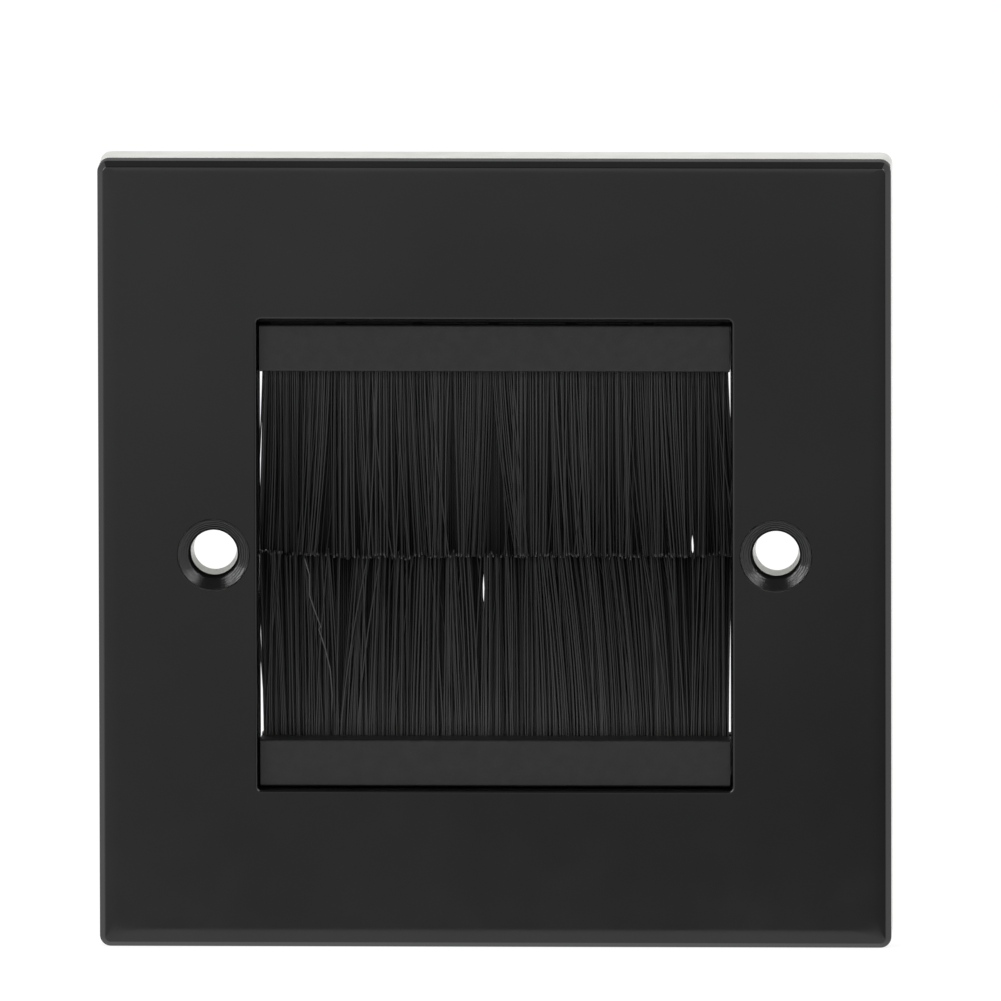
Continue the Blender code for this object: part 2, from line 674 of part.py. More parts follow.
def make_brush(side, turned, overlap, drift, seed, materials):
    """One strip brush in its holder, on an empty in the middle of the opening."""
    place = bpy.data.objects.new(f"{side}_brush", None)
    bpy.context.scene.collection.objects.link(place)
    place.location = (0, BRUSH_DEPTH - PLATE_DEPTH, -BRUSH_SAG)
    place.rotation_euler = (0, turned, 0)
    pieces = (
        make_holder(f"{side}_brush_holder", materials["satin_black"]),
        make_channel(f"{side}_brush_channel", materials["channel_metal"]),
        make_core_wire(f"{side}_core_wire", materials["wire_metal"]),
        make_bristles(f"{side}_bristles", overlap, drift, seed, materials["filament"]),
    )
    for piece in pieces:
        piece.parent = place


def main():
    for item in list(bpy.data.objects):
        bpy.data.objects.remove(item)
    materials = {
        "satin_black": plastic("satin_black", (0.012, 0.012, 0.013), 0.45),
        "channel_metal": metal("channel_metal", (0.62, 0.63, 0.64), 0.35),
        "wire_metal": metal("wire_metal", (0.5, 0.5, 0.5), 0.3),
        "filament": plastic("filament", (0.01, 0.01, 0.01), 0.4),
    }
    make_front_plate(plastic("gloss_black", (0.008, 0.008, 0.009), 0.12))
    make_back_frame(plastic("white_plastic", (0.78, 0.78, 0.75), 0.4))
    make_brush("upper", 0, UPPER_OVERLAP, -TIP_DRIFT, 11, materials)
    make_brush("lower", math.pi, LOWER_OVERLAP, TIP_DRIFT, 23, materials)


main()
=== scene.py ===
"""Brush wall plate: surfaces, filaments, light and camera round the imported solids.

The frame is the solids' own: metres, X to the right, Z up and Y into the wall, whose surface is the plane
y = 0. Sizes below are written in millimetres times MM. The plate's front face looks along -Y.
"""

import math
import random

import bmesh
import bpy
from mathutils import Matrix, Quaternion, Vector


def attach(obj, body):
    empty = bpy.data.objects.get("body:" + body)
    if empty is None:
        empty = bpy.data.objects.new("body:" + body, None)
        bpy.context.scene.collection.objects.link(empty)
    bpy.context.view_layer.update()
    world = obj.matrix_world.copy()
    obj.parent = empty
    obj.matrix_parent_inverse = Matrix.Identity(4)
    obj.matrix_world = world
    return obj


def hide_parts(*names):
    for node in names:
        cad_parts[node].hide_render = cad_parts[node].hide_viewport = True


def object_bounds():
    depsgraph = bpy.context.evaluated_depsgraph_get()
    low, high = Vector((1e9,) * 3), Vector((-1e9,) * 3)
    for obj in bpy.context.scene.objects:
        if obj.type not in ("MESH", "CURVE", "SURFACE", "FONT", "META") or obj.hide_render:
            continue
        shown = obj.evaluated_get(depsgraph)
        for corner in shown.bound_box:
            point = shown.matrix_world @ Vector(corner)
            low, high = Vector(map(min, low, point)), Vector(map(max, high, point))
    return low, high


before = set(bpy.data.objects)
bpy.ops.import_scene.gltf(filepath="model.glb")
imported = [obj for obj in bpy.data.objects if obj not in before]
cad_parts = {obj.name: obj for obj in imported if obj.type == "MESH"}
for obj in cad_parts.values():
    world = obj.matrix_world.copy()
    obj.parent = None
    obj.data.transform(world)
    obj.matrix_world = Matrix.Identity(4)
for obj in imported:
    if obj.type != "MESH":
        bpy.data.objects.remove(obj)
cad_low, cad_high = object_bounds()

MM = 0.001

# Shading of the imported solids
WELD_DISTANCE = 0.001 * MM
SHARP_ANGLE = math.radians(32)

# Materials. The scale of a noise is per metre, and a shine is a specular level
CLOUD_EDGES = (0.35, 0.65)  # noise values between which one colour turns into the other
NOISE_RANGE = (0.3, 0.7)  # values that most of a noise lies between
GLOSS_CLOUDS = (45, (0.0045, 0.0045, 0.0047), (0.0065, 0.0065, 0.0067))  # scale, dark and light
GLOSS_SMEARS = (220, 0.06, 0.1)  # scale, least and most roughness
GLOSS_WAVES = 70
GLOSS_WAVE_HEIGHT = 0.02 * MM
FACE_SHINE = 0.5
NECK_SHINE = 0.0
NECK_MARGIN = 0.15 * MM  # the dull neck reaches this far past the hole's radius
COUNTERSINK_DULLER = 0.1  # added to the roughness
TURNED_PITCH = 0.24 * MM  # from one line in the countersinks to the next
TURNED_HEIGHT = 0.009 * MM
TURNED_SHAKE = 0.3 * MM  # how far the turned lines wander
TURNED_SCALE = 1500  # of the noise that shakes them
SATIN_CLOUDS = (900, (0.0035, 0.0035, 0.0036), (0.006, 0.006, 0.0062))
SATIN_SMEARS = (3000, 0.38, 0.5)
SATIN_GRAIN = 6500
SATIN_GRAIN_HEIGHT = 0.014 * MM
SATIN_SHINE = 0.44
WHITE_CLOUDS = (60, (0.76, 0.76, 0.72), (0.82, 0.82, 0.785))
WHITE_SMEARS = (400, 0.3, 0.42)
WHITE_GRAIN = 2500
WHITE_GRAIN_HEIGHT = 0.004 * MM
DRAWN_SCALE = 300  # of the lines in the metal
DRAWN_STRETCH = (1, 30, 30)
DRAWN_HEIGHT = 0.003 * MM
SHEET_METAL = ((0.5, 0.51, 0.52), (0.68, 0.69, 0.7), 0.28, 0.42)  # dark, light, least and most roughness
WIRE_METAL = ((0.42, 0.42, 0.42), (0.56, 0.56, 0.56), 0.22, 0.36)
FULL_TONE = 0.5  # tone of the lightest filament's body. Its cut end has the tone 1
FILAMENT_DARK = (0.0015, 0.0015, 0.0015)
FILAMENT_FULL = (0.025, 0.025, 0.0255)
FILAMENT_CUT = (0.07, 0.07, 0.069)
FILAMENT_ROUGHNESS = (0.55, 0.42)  # at no tone and at the full one
FILAMENT_SHINE = (0.04, 0.44)
SKIN_SCALE = 900  # of the unevenness along the filaments
SKIN_STRETCH = (4, 4, 1)
SKIN_HEIGHT = 0.004 * MM

# Front moulding, with finer rounds than the solid that it replaces. Depths run from its face to the wall
PLATE_HALF = 42.5 * MM
CORNER_RADIUS = 1.2 * MM
CORNER_LEAST = 0.2 * MM
CORNER_STEPS = 14
FRONT_DEPTH = 3.2 * MM
FRONT_WALL = 2.0 * MM
FRONT_SKIRT = 1.8 * MM
FRONT_DRAFT = 0.1 * MM
BEVEL_WIDTH = 0.5 * MM
BEVEL_SLOPE = 52  # degrees from the face
BEVEL_OUTER_ROUND = 0.15 * MM
BEVEL_INNER_ROUND = 0.2 * MM
BEVEL_STEPS = 6
SHOULDER_WIDTH = 1.5 * MM  # the face falls softly towards its edge
SHOULDER_DROP = 0.04 * MM
SHOULDER_CORNER = 2.6 * MM
SHOULDER_STEPS = 8
FRONT_RIB = 0.9 * MM
FRONT_RIB_HEIGHT = 0.6 * MM
FRONT_RIB_SPACING = 29.0 * MM
FUSE = 0.4 * MM
OVERCUT = 1.0 * MM
APERTURE_HALF = 25.5 * MM
APERTURE_DRAFT = 0.28 * MM
APERTURE_CORNER = 0.5 * MM
APERTURE_ROUND = 0.25 * MM
APERTURE_COLLAR = 1.4 * MM
ROUND_STEPS = 8
SCREW_X = 30.15 * MM
COUNTERSINK_RADIUS = 3.85 * MM
COUNTERSINK_ANGLE = 112
COUNTERSINK_LIP = 0.35 * MM
COUNTERSINK_SPLAY = 0.07 * MM  # the steep lip opens by this much towards the face
SCREW_HOLE_RADIUS = 2.55 * MM
SCREW_HOLE_ROUND = 0.3 * MM
SCREW_BOSS_RADIUS = 5.2 * MM
CIRCLE_STEPS = 128
HOOK_X = 32.5 * MM
HOOK_Z = 31.0 * MM
HOOK_WIDTH = 4.0 * MM
HOOK_LEG = 1.4 * MM
HOOK_BARB = 0.7 * MM
HOOK_GRIP = 6.1 * MM  # depth of the web's rear face, with its gap
HOOK_LAND = 0.4 * MM
HOOK_NOSE = 1.3 * MM

# Strip brushes
MODULE_HALF = 25.0 * MM  # from the opening's middle to a holder's outer edge
HOLDER_HEIGHT = 5.1 * MM
BRUSH_DEPTH = 5.0 * MM  # middle of the bristle pack, behind the front face
BRUSH_SAG = 0.2 * MM
PACK_WIDTH = 49.85 * MM
PACK_SHIFT = -0.03 * MM  # the packs lie a little left in their holders
PACK_THICKNESS = 1.1 * MM
FOLD_HEIGHT = 2.7 * MM  # from the holder's inner edge to the core wire
FOLD_RADIUS = 0.9 * MM
TUNNEL_RADIUS = 0.5 * MM
TUNNEL_GAP = 0.1 * MM  # between the fold's legs
FOLD_STEPS = 12
LEG_END = 1.3 * MM  # where the fold's legs part into filaments, above the holder's inner edge

# Filaments
FILAMENT_RADIUS = 0.1 * MM
FRONT_RADIUS = 0.085 * MM  # of the rows that lean, whose lines look finer
FILAMENT_SIDES = 5
SHARES = (0, 0.15, 0.3, 0.45, 0.6, 0.7, 0.76, 0.82, 0.88, 0.94, 0.985, 1)  # of a filament's length
COLUMNS = 228
ROW_STAGGER = 0.5  # share of a column by which every other row is shifted
ROWS = (  # from the front: least and most tone, lighter in the front row and darker behind as painted light and shade, share of it lost at the tip as painted shade, share of columns filled, loose
    (0.42, 0.58, 0.5, 0.55, 1),
    (0.35, 0.5, 0.62, 0.85, 1),
    (0.35, 0.49, 0.76, 1, 1),
    (0.37, 0.5, 0.93, 1, 0),
    (0.37, 0.5, 0.93, 1, 0),
)
FADE_CURVE = 0.8  # a smaller one spreads the painted shade nearer to the root
ROOT_PAINTED_LIGHT = (2.8, 1.2)  # painted light: lifts the first two points' tones, where the holder shades the filaments
LIGHT_CUTS = 0.35  # share of the filaments whose cut ends look light
LEAN_CURVE = 1.5  # filaments are straight at the root and lean more towards the tip
ROOT_JITTER = 0.04 * MM
TIP_JITTER = 0.1 * MM
TIP_UNEVEN = 0.1 * MM
UPPER_OVERLAP = 0.5 * MM  # how far the tips pass the middle
LOWER_OVERLAP = 0.0 * MM
TIP_DRIFT = 0.35 * MM  # upper tips lean forwards and lower tips back, so they pass each other
CROSSING = -20.5 * MM  # left of this the lower tips lie in front
CROSSING_WIDTH = 0.8 * MM
TIP_SPREAD = 1.3
BUNDLE_LEAST = 0.6 * MM
BUNDLE_MOST = 3.0 * MM
BUNDLE_LEAN = 0.8 * MM
UPPER_SWEEP = (0.8, 21.0, 4.0)  # largest lean of a whole stretch, its place and its width, in millimetres
LOWER_SWEEP = (-2.2, 12.0, 8.0)
BUNDLE_PULL = (0.6, 1.3)  # share of its width that a bundle keeps at its tips
BUNDLE_UNEVEN = 0.1 * MM
STRAY_SHARE = 0.18
STRAY_LEAN = 1.9 * MM
EDGE_LEAN = 0.6 * MM  # the outermost filaments lean out
EDGE_CURVE = 9  # a larger one leaves the lean to fewer filaments
SPLAY_HALF = 25.7 * MM  # no filament reaches further out
SLITS = (  # where filaments part: x, z, half length and half width, in millimetres
    (21.1, 0.55, 0.8, 0.2),
    (-1.35, -4.1, 1.5, 0.18),
)
SLIT_CURVE = 4  # a larger one gives the slits blunter ends
KINKED = (  # one bent bristle of the lower strip, as (x, z) in millimetres
    (-17.7, -19.5), (-17.6, -15.7), (-17.8, -13.0), (-18.3, -10.8), (-19.0, -8.6), (-18.8, -8.3),
    (-19.4, -6.7), (-20.0, -4.9), (-20.0, -2.7), (-20.5, -0.9),
)
KINKED_DEPTH = (-0.75 * MM, -1.1 * MM)  # at its root and its tip, in front of the pack's middle
# painted light: the bent bristle gets a lighter tone than its neighbours, as if lit
KINKED_PAINTED_LIGHT_TONE = 0.7
STRIPS = (  # name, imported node, overlap, drift of the tips, sweep, turned over or not, and seed of the draws
    ("upper_filaments", "upper_bristles", UPPER_OVERLAP, -TIP_DRIFT, UPPER_SWEEP, False, 5),
    ("lower_filaments", "lower_bristles", LOWER_OVERLAP, TIP_DRIFT, LOWER_SWEEP, True, 8),
)

# Camera, far off with a long lens
PHOTO_SIDE = 1001
PIXELS_PER_METRE = 9332.0
CAMERA_AZIMUTH = math.radians(1.8)
CAMERA_ELEVATION = math.radians(7.8)
CAMERA_ROLL = math.radians(-0.12)
CAMERA_DISTANCE = 4.0
CLIP_RANGE = (0.1, 50)
SENSOR = 36.0
FACE_CENTRE_PIXEL = (494.4, 555.6)  # where the middle of the front face lies in the photograph

# Light
WORLD_LEVEL = 0.8
LAMP_DISTANCE = 1.0
LAMPS = (  # name, azimuth and elevation in degrees, width and height in metres, radiance
    ("left_lamp", -54, 31, 0.46, 0.7, 5.0),
    ("right_lamp", 50, 36, 0.44, 0.42, 4.4),
)

# Studio round the object
FLOOR_SIDE = 6.0
FLOOR_COLOUR = 0.9
FLOOR_ROUGHNESS = 0.8
FLOOR_OWN = 0.25  # share of the floor's own shading, with the plate's shadow, that the camera sees
FLOOR_WHITE = 1.1  # brings the floor outside the shadow to plain white
CARD_DISTANCE = 0.6
CARD_HALF_WIDTH = 0.45
CARD_BOTTOM = -0.141
CARD_TOP = 0.018
CARD_DARK = (-0.112, 0.355)  # height and brightness
CARD_LIGHT = (-0.04, 0.53)
CARD_SLOPE = -1.5  # the card is brighter to the left
CANOPY_HEIGHT = 1.0
CANOPY_HALF_WIDTH = 0.56
CANOPIES = (  # name, front edge, rear edge and brightness
    ("canopy", -0.3, 0.8, 0.25),
    ("visor", -2.6, -0.3, 0.05),
)
BACK_DISTANCE = 1.2
BACK_HALF_WIDTH = 1.5
BACK_BOTTOM = -0.03
BACK_TOP = 1.0
BACK_LEVEL = 0.2


def placed(name, data):
    """A new object in the scene."""
    item = bpy.data.objects.new(name, data)
    bpy.context.scene.collection.objects.link(item)
    return item


def built(name, shape):
    """A new object in the scene from a finished bmesh, which it frees."""
    bmesh.ops.recalc_face_normals(shape, faces=shape.faces)
    mesh = bpy.data.meshes.new(name)
    shape.to_mesh(mesh)
    shape.free()
    return placed(name, mesh)


def direction(azimuth, elevation):
    """Unit vector away from the object, by its angles right of the front and up, in radians."""
    return Vector((
        math.sin(azimuth) * math.cos(elevation),
        -math.cos(azimuth) * math.cos(elevation),
        math.sin(elevation),
    ))


def new_material(name):
    """A material with its nodes, its links and its Principled shader."""
    material = bpy.data.materials.new(name)
    material.use_nodes = True
    nodes = material.node_tree.nodes
    return material, nodes, material.node_tree.links, nodes["Principled BSDF"]


def calculated(nodes, links, operation, *values):
    """The result of an operation on numbers and other nodes' values."""
    step = nodes.new("ShaderNodeMath")
    step.operation = operation
    for place, value in zip(step.inputs, values):
        if isinstance(value, (int, float)):
            place.default_value = value
        else:
            links.new(value, place)
    return step.outputs["Value"]


def noise(nodes, links, scale, stretch=(1, 1, 1), detail=3):
    """Noise in the object's own space, finer along an axis with a larger stretch."""
    place = nodes.new("ShaderNodeTexCoord")
    mapping = nodes.new("ShaderNodeMapping")
    mapping.inputs["Scale"].default_value = stretch
    texture = nodes.new("ShaderNodeTexNoise")
    texture.inputs["Scale"].default_value = scale
    texture.inputs["Detail"].default_value = detail
    links.new(place.outputs["Object"], mapping.inputs["Vector"])
    links.new(mapping.outputs["Vector"], texture.inputs["Vector"])
    return texture.outputs["Fac"]


def ranged(nodes, links, value, start, end, low, high):
    """A value between start and end, spread from low to high."""
    spread = nodes.new("ShaderNodeMapRange")
    spread.inputs["From Min"].default_value = start
    spread.inputs["From Max"].default_value = end
    spread.inputs["To Min"].default_value = low
    spread.inputs["To Max"].default_value = high
    links.new(value, spread.inputs["Value"])
    return spread.outputs["Result"]


def smeared(nodes, links, scale, low, high):
    """A number that varies in soft smears."""
    return ranged(nodes, links, noise(nodes, links, scale), *NOISE_RANGE, low, high)


def tinted(nodes, links, value, dark, light):
    """A colour between two, by a noise."""
    ramp = nodes.new("ShaderNodeValToRGB")
    for stop, edge, colour in zip(ramp.color_ramp.elements, CLOUD_EDGES, (dark, light)):
        stop.position = edge
        stop.color = (*colour, 1)
    links.new(value, ramp.inputs["Fac"])
    return ramp.outputs["Color"]


def clouded(nodes, links, scale, dark, light):
    """A colour between two, in soft clouds."""
    return tinted(nodes, links, noise(nodes, links, scale), dark, light)


def bumped(nodes, links, layers):
    """Surface relief from several (value, height in metres) layers, one on another."""
    normal = None
    for value, height in layers:
        relief = nodes.new("ShaderNodeBump")
        relief.inputs["Distance"].default_value = height
        links.new(value, relief.inputs["Height"])
        if normal:
            links.new(normal, relief.inputs["Normal"])
        normal = relief.outputs["Normal"]
    return normal


def from_screws(nodes, links):
    """Distance from the nearer screw hole's axis."""
    place = nodes.new("ShaderNodeTexCoord")
    split = nodes.new("ShaderNodeSeparateXYZ")
    links.new(place.outputs["Object"], split.inputs["Vector"])
    side = calculated(nodes, links, "ABSOLUTE", split.outputs["X"])
    flat = nodes.new("ShaderNodeCombineXYZ")
    links.new(calculated(nodes, links, "SUBTRACT", side, SCREW_X), flat.inputs["X"])
    links.new(split.outputs["Z"], flat.inputs["Y"])
    radius = nodes.new("ShaderNodeVectorMath")
    radius.operation = "LENGTH"
    links.new(flat.outputs["Vector"], radius.inputs[0])
    return radius.outputs["Value"]


def near_screws(nodes, links, reach):
    """1 within a distance of either screw hole's axis and 0 on the rest of the front moulding."""
    return calculated(nodes, links, "LESS_THAN", from_screws(nodes, links), reach)


def turned_lines(nodes, links):
    """Fine uneven rings in the countersinks, as a cutting tool leaves them."""
    shake = noise(nodes, links, TURNED_SCALE, detail=2)
    radius = calculated(nodes, links, "MULTIPLY_ADD", shake, TURNED_SHAKE, from_screws(nodes, links))
    turns = calculated(nodes, links, "MULTIPLY", radius, 2 * math.pi / TURNED_PITCH)
    lines = calculated(nodes, links, "SINE", turns)
    return calculated(nodes, links, "MULTIPLY", lines, near_screws(nodes, links, COUNTERSINK_RADIUS))


def gloss_black():
    """Polished plastic, faintly wavy, with turned lines in the countersinks and no shine in the holes."""
    material, nodes, links, shader = new_material("gloss_black")
    links.new(clouded(nodes, links, *GLOSS_CLOUDS), shader.inputs["Base Color"])
    turned = near_screws(nodes, links, COUNTERSINK_RADIUS)
    smears = smeared(nodes, links, *GLOSS_SMEARS)
    roughness = calculated(nodes, links, "MULTIPLY_ADD", turned, COUNTERSINK_DULLER, smears)
    links.new(roughness, shader.inputs["Roughness"])
    neck = near_screws(nodes, links, SCREW_HOLE_RADIUS + NECK_MARGIN)
    shine = ranged(nodes, links, neck, 0, 1, FACE_SHINE, NECK_SHINE)
    links.new(shine, shader.inputs["Specular IOR Level"])
    wave = noise(nodes, links, GLOSS_WAVES, detail=1)
    lines = turned_lines(nodes, links)
    relief = bumped(nodes, links, [(wave, GLOSS_WAVE_HEIGHT), (lines, TURNED_HEIGHT)])
    links.new(relief, shader.inputs["Normal"])
    return material


def grained_plastic(name, clouds, smears, grain, height):
    """Moulded plastic with a fine texture."""
    material, nodes, links, shader = new_material(name)
    links.new(clouded(nodes, links, *clouds), shader.inputs["Base Color"])
    links.new(smeared(nodes, links, *smears), shader.inputs["Roughness"])
    relief = bumped(nodes, links, [(noise(nodes, links, grain, detail=2), height)])
    links.new(relief, shader.inputs["Normal"])
    return material, shader


def satin_black():
    """Black plastic with a spark-eroded texture."""
    look = (SATIN_CLOUDS, SATIN_SMEARS, SATIN_GRAIN, SATIN_GRAIN_HEIGHT)
    material, shader = grained_plastic("satin_black", *look)
    shader.inputs["Specular IOR Level"].default_value = SATIN_SHINE
    return material


def white_plastic():
    """Off-white plastic with a soft shine."""
    look = (WHITE_CLOUDS, WHITE_SMEARS, WHITE_GRAIN, WHITE_GRAIN_HEIGHT)
    return grained_plastic("white_plastic", *look)[0]


def drawn_metal(name, dark, light, least, most):
    """Metal with fine lines along X, as drawn wire and rolled strip have."""
    material, nodes, links, shader = new_material(name)
    lines = noise(nodes, links, DRAWN_SCALE, stretch=DRAWN_STRETCH)
    links.new(tinted(nodes, links, lines, dark, light), shader.inputs["Base Color"])
    links.new(ranged(nodes, links, lines, *NOISE_RANGE, least, most), shader.inputs["Roughness"])
    shader.inputs["Metallic"].default_value = 1
    links.new(bumped(nodes, links, [(lines, DRAWN_HEIGHT)]), shader.inputs["Normal"])
    return material


def filament_black():
    """Nylon filaments: each has its own tone, with painted light at the root and painted shade towards the
    tip, and the darkest shine the least.
    """
    material, nodes, links, shader = new_material("filament")
    stored = nodes.new("ShaderNodeAttribute")
    stored.attribute_name = "tone"
    tone = stored.outputs["Fac"]
    shades = nodes.new("ShaderNodeValToRGB")
    shades.color_ramp.elements[0].color = (*FILAMENT_DARK, 1)
    shades.color_ramp.elements[1].color = (*FILAMENT_CUT, 1)
    shades.color_ramp.elements.new(FULL_TONE).color = (*FILAMENT_FULL, 1)
    links.new(tone, shades.inputs["Fac"])
    links.new(shades.outputs["Color"], shader.inputs["Base Color"])
    links.new(ranged(nodes, links, tone, 0, FULL_TONE, *FILAMENT_ROUGHNESS), shader.inputs["Roughness"])
    links.new(ranged(nodes, links, tone, 0, FULL_TONE, *FILAMENT_SHINE), shader.inputs["Specular IOR Level"])
    skin = noise(nodes, links, SKIN_SCALE, stretch=SKIN_STRETCH, detail=2)
    links.new(bumped(nodes, links, [(skin, SKIN_HEIGHT)]), shader.inputs["Normal"])
    return material


def soft_rounds():
    """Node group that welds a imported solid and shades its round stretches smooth, its corners sharp."""
    group = bpy.data.node_groups.new("soft_rounds", "GeometryNodeTree")
    for way in ("INPUT", "OUTPUT"):
        group.interface.new_socket("Geometry", in_out=way, socket_type="NodeSocketGeometry")
    start = group.nodes.new("NodeGroupInput")
    end = group.nodes.new("NodeGroupOutput")
    weld = group.nodes.new("GeometryNodeMergeByDistance")
    weld.inputs["Distance"].default_value = WELD_DISTANCE
    smooth = group.nodes.new("GeometryNodeSetShadeSmooth")
    smooth.domain = "FACE"
    crease = group.nodes.new("GeometryNodeSetShadeSmooth")
    crease.domain = "EDGE"
    crease.inputs["Shade Smooth"].default_value = False
    angle = group.nodes.new("GeometryNodeInputMeshEdgeAngle").outputs["Unsigned Angle"]
    sharp = calculated(group.nodes, group.links, "GREATER_THAN", angle, SHARP_ANGLE)
    group.links.new(start.outputs[0], weld.inputs["Geometry"])
    group.links.new(weld.outputs["Geometry"], smooth.inputs["Geometry"])
    group.links.new(smooth.outputs["Geometry"], crease.inputs["Geometry"])
    group.links.new(sharp, crease.inputs["Selection"])
    group.links.new(crease.outputs["Geometry"], end.inputs[0])
    return group


def soften(piece, group):
    """Shades a piece with its rounds smooth and its flats flat."""
    rounds = piece.modifiers.new("soft_rounds", "NODES")
    rounds.node_group = group
    weights = piece.modifiers.new("flat_faces", "WEIGHTED_NORMAL")
    weights.keep_sharp = True


def finish_solid(name, material, group):
    """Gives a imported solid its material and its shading."""
    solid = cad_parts[name]
    solid.data.materials.clear()
    solid.data.materials.append(material)
    normals = solid.data.attributes.get("custom_normal")
    if normals:
        solid.data.attributes.remove(normals)
    soften(solid, group)


def square_ring(half, radius, depth):
    """Points round a square with round corners, at a depth behind the front face."""
    points = []
    for quarter, (side_x, side_z) in enumerate(((1, 1), (-1, 1), (-1, -1), (1, -1))):
        for step in range(CORNER_STEPS + 1):
            angle = (quarter + step / CORNER_STEPS) * math.pi / 2
            x = side_x * (half - radius) + radius * math.cos(angle)
            z = side_z * (half - radius) + radius * math.sin(angle)
            points.append((x, cad_low.y + depth, z))
    return points


def plate_ring(inset, depth, radius=None):
    """The plate's outline, moved in from its sides, at a depth."""
    corner = radius or max(CORNER_RADIUS - inset, CORNER_LEAST)
    return square_ring(PLATE_HALF - inset, corner, depth)


def round_ring(centre_x, radius, depth):
    """A ring of points round a screw hole's axis."""
    turn = 2 * math.pi / CIRCLE_STEPS
    return [
        (centre_x + radius * math.cos(turn * step), cad_low.y + depth, radius * math.sin(turn * step))
        for step in range(CIRCLE_STEPS)
    ]


def arc(centre_a, centre_b, radius, start, end, steps):
    """Points on an arc in any plane, from one angle to another, in degrees."""
    turns = [math.radians(start + (end - start) * step / steps) for step in range(steps + 1)]
    return [(centre_a + radius * math.cos(turn), centre_b + radius * math.sin(turn)) for turn in turns]


def loft(name, rings):
    """A closed object through rings of equal length, with its first and last rings capped."""
    shape = bmesh.new()
    loops = [[shape.verts.new(point) for point in ring] for ring in rings]
    for near, far in zip(loops, loops[1:]):
        for first in range(len(near)):
            second = (first + 1) % len(near)
            shape.faces.new((near[first], near[second], far[second], far[first]))
    shape.faces.new(loops[0])
    shape.faces.new(loops[-1])
    return built(name, shape)


def deep_block(x_range, depth_range, z_range):
    """A box whose second range is a depth behind the front face."""
    (x_low, x_high), (z_low, z_high) = sorted(x_range), sorted(z_range)
    outline = ((x_low, z_low), (x_high, z_low), (x_high, z_high), (x_low, z_high))
    return loft("block", [[(x, cad_low.y + depth, z) for x, z in outline] for depth in depth_range])


def combine(piece, steps):
    """Joins tools to a piece, or cuts them away, and keeps the resulting mesh alone."""
    for number, (operation, tool) in enumerate(steps):
        change = piece.modifiers.new(f"change_{number}", "BOOLEAN")
        change.operation = operation
        change.object = tool
        change.solver = "EXACT"
    result = bpy.data.meshes.new_from_object(piece.evaluated_get(bpy.context.evaluated_depsgraph_get()))
    piece.modifiers.clear()
    piece.data = result
    for _, tool in steps:
        bpy.data.objects.remove(tool)


def edge_line():
    """Front edge from the side to the face, as (inset, depth): a steep bevel between two small rounds."""
    lean = 270 - BEVEL_SLOPE
    sideways = math.cos(math.radians(lean))
    inner_x = BEVEL_OUTER_ROUND * (1 + sideways) + BEVEL_WIDTH - BEVEL_INNER_ROUND * sideways
    inner_depth = SHOULDER_DROP + BEVEL_INNER_ROUND
    rise = BEVEL_WIDTH * math.tan(math.radians(BEVEL_SLOPE))
    between = (BEVEL_INNER_ROUND - BEVEL_OUTER_ROUND) * math.sin(math.radians(lean))
    return [
        *arc(BEVEL_OUTER_ROUND, inner_depth + rise + between, BEVEL_OUTER_ROUND, 180, lean, BEVEL_STEPS),
        *arc(inner_x, inner_depth, BEVEL_INNER_ROUND, lean, 270, BEVEL_STEPS),
    ]


def front_shell():
    """Pocket floor, skirt, bevel and soft shoulder of the front moulding, as one profile."""
    rings = [
        plate_ring(FRONT_SKIRT + FRONT_DRAFT, FRONT_WALL),
        plate_ring(FRONT_SKIRT, FRONT_DEPTH),
        plate_ring(0, FRONT_DEPTH),
    ]
    edge = edge_line()
    rings += [plate_ring(inset, depth) for inset, depth in edge]
    start = edge[-1][0]
    first_corner = CORNER_RADIUS - start
    for step in range(1, SHOULDER_STEPS + 1):
        along = step / SHOULDER_STEPS
        depth = SHOULDER_DROP * (1 - along) ** 2
        corner = first_corner + (SHOULDER_CORNER - first_corner) * along
        rings.append(plate_ring(start + SHOULDER_WIDTH * along, depth, corner))
    return loft("gloss_front", rings)


def aperture_tool():
    """The square opening, narrowing towards the wall, with a small round where it meets the face."""
    edge = arc(APERTURE_ROUND, APERTURE_ROUND, APERTURE_ROUND, 270, 180, ROUND_STEPS)
    rear = [(-APERTURE_DRAFT, FRONT_DEPTH), (-APERTURE_DRAFT, FRONT_DEPTH + OVERCUT)]
    stations = [(APERTURE_ROUND, -OVERCUT), *edge, *rear]
    rings = [square_ring(APERTURE_HALF + out, APERTURE_CORNER + out, depth) for out, depth in stations]
    return loft("aperture", rings)


def countersink_tool(centre_x):
    """Steep lip, cone and neck of a countersunk hole, with a small round at its neck."""
    half_angle = COUNTERSINK_ANGLE / 2
    cone_start = COUNTERSINK_RADIUS - COUNTERSINK_SPLAY
    cone_end = COUNTERSINK_LIP + (cone_start - SCREW_HOLE_RADIUS) / math.tan(math.radians(half_angle))
    run = SCREW_HOLE_ROUND * math.tan(math.radians(half_angle / 2))
    centre = (SCREW_HOLE_RADIUS + SCREW_HOLE_ROUND, cone_end + run)
    neck = arc(*centre, SCREW_HOLE_ROUND, 180 + half_angle, 180, ROUND_STEPS)
    stations = [
        (COUNTERSINK_RADIUS + COUNTERSINK_SPLAY, -OVERCUT),
        (COUNTERSINK_RADIUS + COUNTERSINK_SPLAY, 0),
        (cone_start, COUNTERSINK_LIP),
        *neck,
        (SCREW_HOLE_RADIUS, FRONT_DEPTH + OVERCUT),
    ]
    return loft("countersink", [round_ring(centre_x, radius, depth) for radius, depth in stations])


